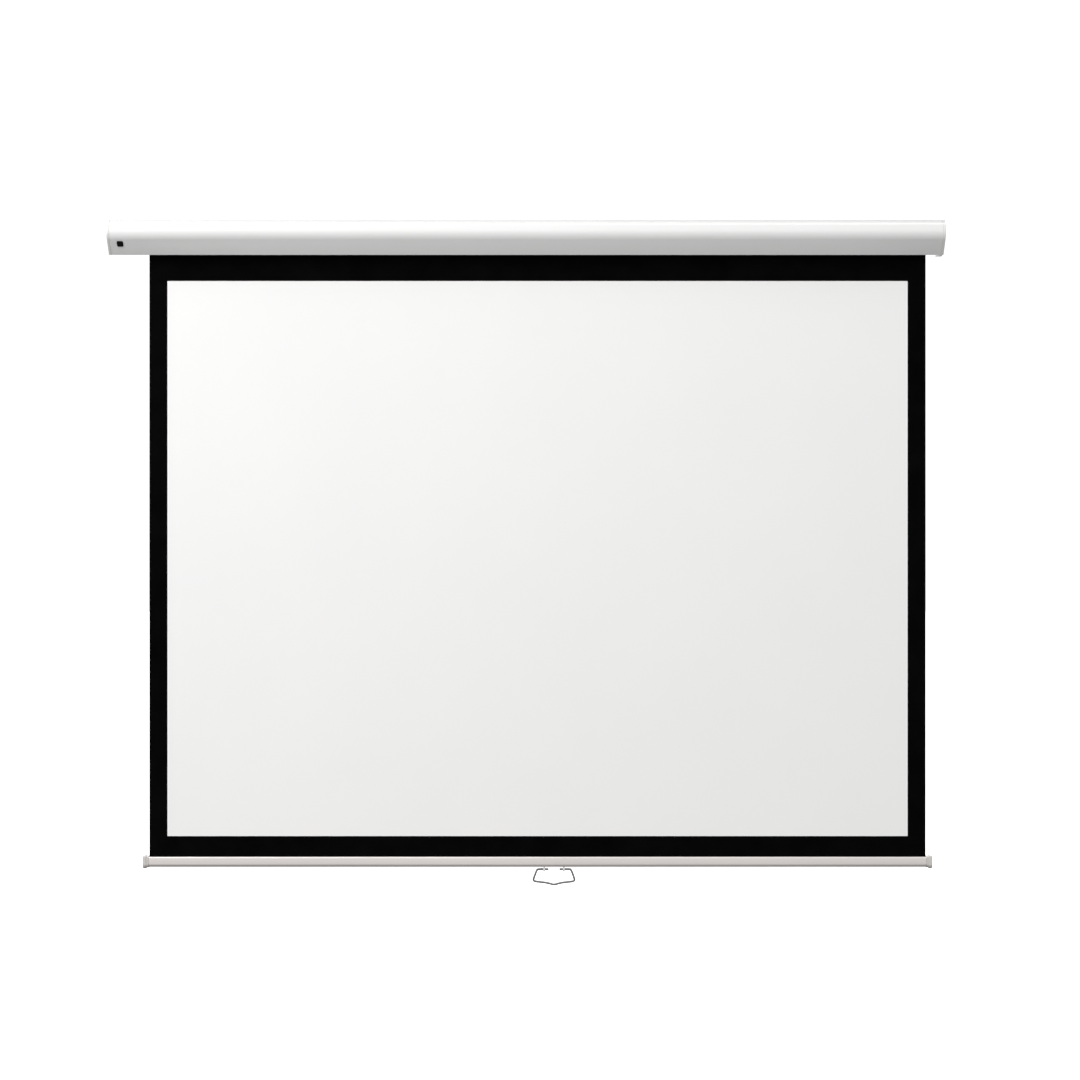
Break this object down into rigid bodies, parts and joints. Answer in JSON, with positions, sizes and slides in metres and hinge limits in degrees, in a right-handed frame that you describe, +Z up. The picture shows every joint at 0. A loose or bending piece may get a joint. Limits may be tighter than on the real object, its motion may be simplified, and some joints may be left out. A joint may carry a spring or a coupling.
{
  "type": "projector screen",
  "caption": "Wall-hung pull-down projector screen: white casing with a spring roller, black-bordered white fabric, aluminium bottom bar and wire pull handle.",
  "frame": {"origin": "middle of the casing's length, 41 mm above its lower edge, on its flat back, which is the plane of the wall", "axes": "+X along the casing towards its right end seen from the front, +Y out of the back into the wall, +Z up"},
  "size_m": [1.916, 0.08, 1.5292],
  "materials": {
    "casing_paint": "white powder coat, satin",
    "white_plastic": "moulded, fine matt grain",
    "black_plastic": "moulded, satin",
    "grey_nylon": "moulded nylon, satin",
    "steel": "zinc plated",
    "spring_steel": "oiled spring wire",
    "brass": "sintered bush",
    "satin_aluminium": "satin anodised",
    "grey_wire": "grey coated wire, satin",
    "black_cloth": "black coated glass-fibre cloth, matt",
    "white_cloth": "matt white projection coating with a fine grain"
  },
  "bodies": {
    "casing": {"casing_extrusion": "casing_paint", "left_end_cap": "white_plastic", "right_end_cap": "white_plastic", "left_end_plate": "steel", "right_end_plate": "steel", "left_cap_screw_1": "steel", "left_cap_screw_2": "steel", "left_cap_screw_3": "steel", "right_cap_screw_1": "steel", "right_cap_screw_2": "steel", "right_cap_screw_3": "steel", "left_wall_bracket": "steel", "right_wall_bracket": "steel", "blanking_plug": "black_plastic", "spring_spindle": "steel", "ratchet_hub": "steel", "spring_collar": "grey_nylon", "bearing_bush": "brass", "black_backing": "black_cloth", "viewing_surface": "white_cloth"},
    "roller": {"roller_tube": "satin_aluminium", "fabric_wraps": "black_cloth", "left_roller_plug": "grey_nylon", "right_roller_plug": "grey_nylon", "spindle_bush": "brass", "idle_pin": "steel", "torsion_spring": "spring_steel", "spring_anchor_plug": "grey_nylon", "pawl_pin_a": "steel", "pawl_pin_b": "steel"},
    "upper_pawl": {"pawl_a": "steel"},
    "lower_pawl": {"pawl_b": "steel"},
    "bar": {"bottom_bar": "satin_aluminium", "left_bar_cap": "grey_nylon", "right_bar_cap": "grey_nylon", "fabric_hem": "black_cloth", "hem_spline": "white_plastic"},
    "handle_clips": {"left_handle_clip": "white_plastic", "right_handle_clip": "white_plastic"},
    "bail": {"handle_bail": "grey_wire"}
  },
  "joints": [
    {"name": "screen_drop", "type": "slide", "parent": "casing", "child": "bar", "axis": [0, 0, 1], "range_m": [0, 1.378], "deforming": ["black_backing", "viewing_surface"]},
    {"name": "roller_spin", "type": "hinge", "parent": "casing", "child": "roller", "pos_m": [0, -0.0441, 0.002], "axis": [1, 0, 0], "range_deg": [0, 3511], "deforming": ["torsion_spring"]},
    {"name": "pawl_a_fall", "type": "hinge", "parent": "roller", "child": "upper_pawl", "pos_m": [-0.9411, -0.0381, 0.015], "axis": [1, 0, 0], "range_deg": [0, 20]},
    {"name": "pawl_b_fall", "type": "hinge", "parent": "roller", "child": "lower_pawl", "pos_m": [-0.9411, -0.0501, -0.011], "axis": [1, 0, 0], "range_deg": [0, 20]},
    {"name": "handle_slide", "type": "slide", "parent": "bar", "child": "handle_clips", "axis": [1, 0, 0], "range_m": [-0.88, 0.8]},
    {"name": "handle_swing", "type": "hinge", "parent": "handle_clips", "child": "bail", "pos_m": [0.0639, -0.023, -1.4545], "axis": [1, 0, 0], "range_deg": [-90, 90]}
  ],
  "couplings": [
    {"joint": "roller_spin", "follows": "screen_drop", "rad_per_m": 44.457}
  ]
}
